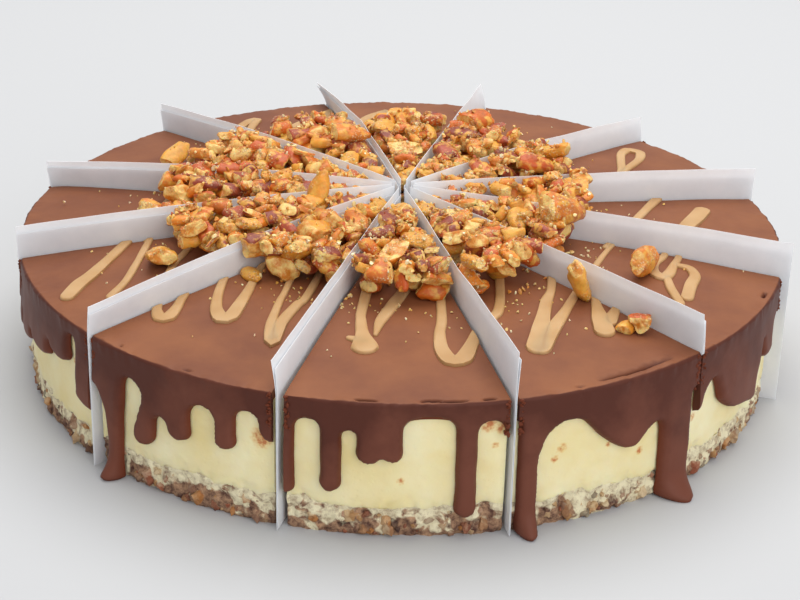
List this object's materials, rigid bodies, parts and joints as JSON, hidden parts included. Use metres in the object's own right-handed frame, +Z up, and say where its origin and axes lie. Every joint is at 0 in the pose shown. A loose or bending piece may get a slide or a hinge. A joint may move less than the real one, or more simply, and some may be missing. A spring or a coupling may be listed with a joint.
{
  "type": "baked cheesecake",
  "caption": "Whole round baked cheesecake, cut into slices with folded paper between them, covered with chocolate ganache, caramel drizzle and a heap of candied pecans.",
  "frame": {"origin": "centre of the cake's flat base", "axes": "+Z up; +Y away from the side that is seen first, +X to its right"},
  "size_m": [0.2296, 0.2294, 0.0577],
  "materials": {
    "crust": "matte, coarse crumb",
    "filling": "satin, smooth baked custard",
    "ganache": "satin, set chocolate",
    "pecans": "glossy, candied nut",
    "paper": "matte, thin baking paper"
  },
  "bodies": {
    "root": {"crust_01": "crust", "crust_02": "crust", "crust_03": "crust", "crust_04": "crust", "crust_05": "crust", "crust_06": "crust", "crust_07": "crust", "crust_08": "crust", "crust_09": "crust", "crust_10": "crust", "crust_11": "crust", "crust_12": "crust", "filling_01": "filling", "filling_02": "filling", "filling_03": "filling", "filling_04": "filling", "filling_05": "filling", "filling_06": "filling", "filling_07": "filling", "filling_08": "filling", "filling_09": "filling", "filling_10": "filling", "filling_11": "filling", "filling_12": "filling", "ganache_01": "ganache", "ganache_02": "ganache", "ganache_03": "ganache", "ganache_04": "ganache", "ganache_05": "ganache", "ganache_06": "ganache", "ganache_07": "ganache", "ganache_08": "ganache", "ganache_09": "ganache", "ganache_10": "ganache", "ganache_11": "ganache", "ganache_12": "ganache", "pecans_01": "pecans", "pecans_02": "pecans", "pecans_03": "pecans", "pecans_04": "pecans", "pecans_05": "pecans", "pecans_06": "pecans", "pecans_07": "pecans", "pecans_08": "pecans", "pecans_09": "pecans", "pecans_10": "pecans", "pecans_11": "pecans", "pecans_12": "pecans", "paper_01": "paper", "paper_02": "paper", "paper_03": "paper", "paper_04": "paper", "paper_05": "paper", "paper_06": "paper", "paper_07": "paper", "paper_08": "paper", "paper_09": "paper", "paper_10": "paper", "paper_11": "paper", "paper_12": "paper"}
  },
  "joints": []
}
